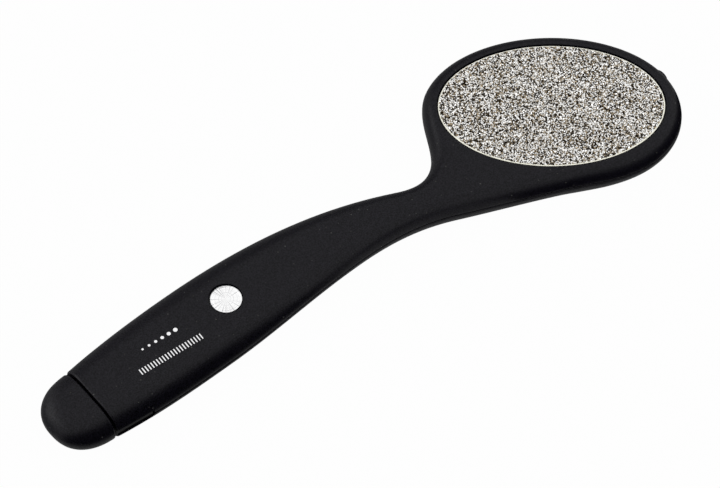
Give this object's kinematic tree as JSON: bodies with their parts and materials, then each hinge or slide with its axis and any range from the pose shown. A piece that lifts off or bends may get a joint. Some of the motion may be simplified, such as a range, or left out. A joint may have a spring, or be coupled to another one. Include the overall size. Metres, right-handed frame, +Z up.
{
  "type": "foot file",
  "caption": "Flat paddle foot file with an oval abrasive plate on each face of its oblique head, a curved soft-touch handle and an end cap that pulls off.",
  "frame": {"origin": "middle of the bounding box in plan, on the surface that the file lies on", "axes": "+X along the handle from the end cap to the head, +Y to the left seen from above, +Z up out of the coarse plate; the file lies flat"},
  "size_m": [0.2286, 0.0679, 0.0128],
  "materials": {
    "soft_touch_black": "black soft-touch moulded plastic, satin, with a very fine speckle",
    "plug_black": "smooth black moulded plastic",
    "plate_steel": "stamped steel sheet with a pale, bright bare edge",
    "coarse_grit": "dense coarse grit bonded under nickel, glittering silver grey",
    "fine_grit": "dense fine grit bonded under nickel, even silver grey",
    "bonding_pad": "thin pale foam tape",
    "badge_metal": "fine radial brushing with a black ring round it",
    "print_white": null
  },
  "bodies": {
    "file_body": {"upper_shell": "soft_touch_black", "lower_shell": "soft_touch_black", "coarse_pad": "bonding_pad", "coarse_plate": "plate_steel", "coarse_grit": "coarse_grit", "fine_pad": "bonding_pad", "fine_plate": "plate_steel", "fine_grit": "fine_grit", "badge_pad": "bonding_pad", "badge": "badge_metal"},
    "end_cap": {"cap_shell": "soft_touch_black", "cap_plug": "plug_black"}
  },
  "joints": [
    {"name": "cap_pull", "type": "slide", "parent": "file_body", "child": "end_cap", "axis": [-1, 0, 0], "range_m": [0, 0.03]}
  ]
}
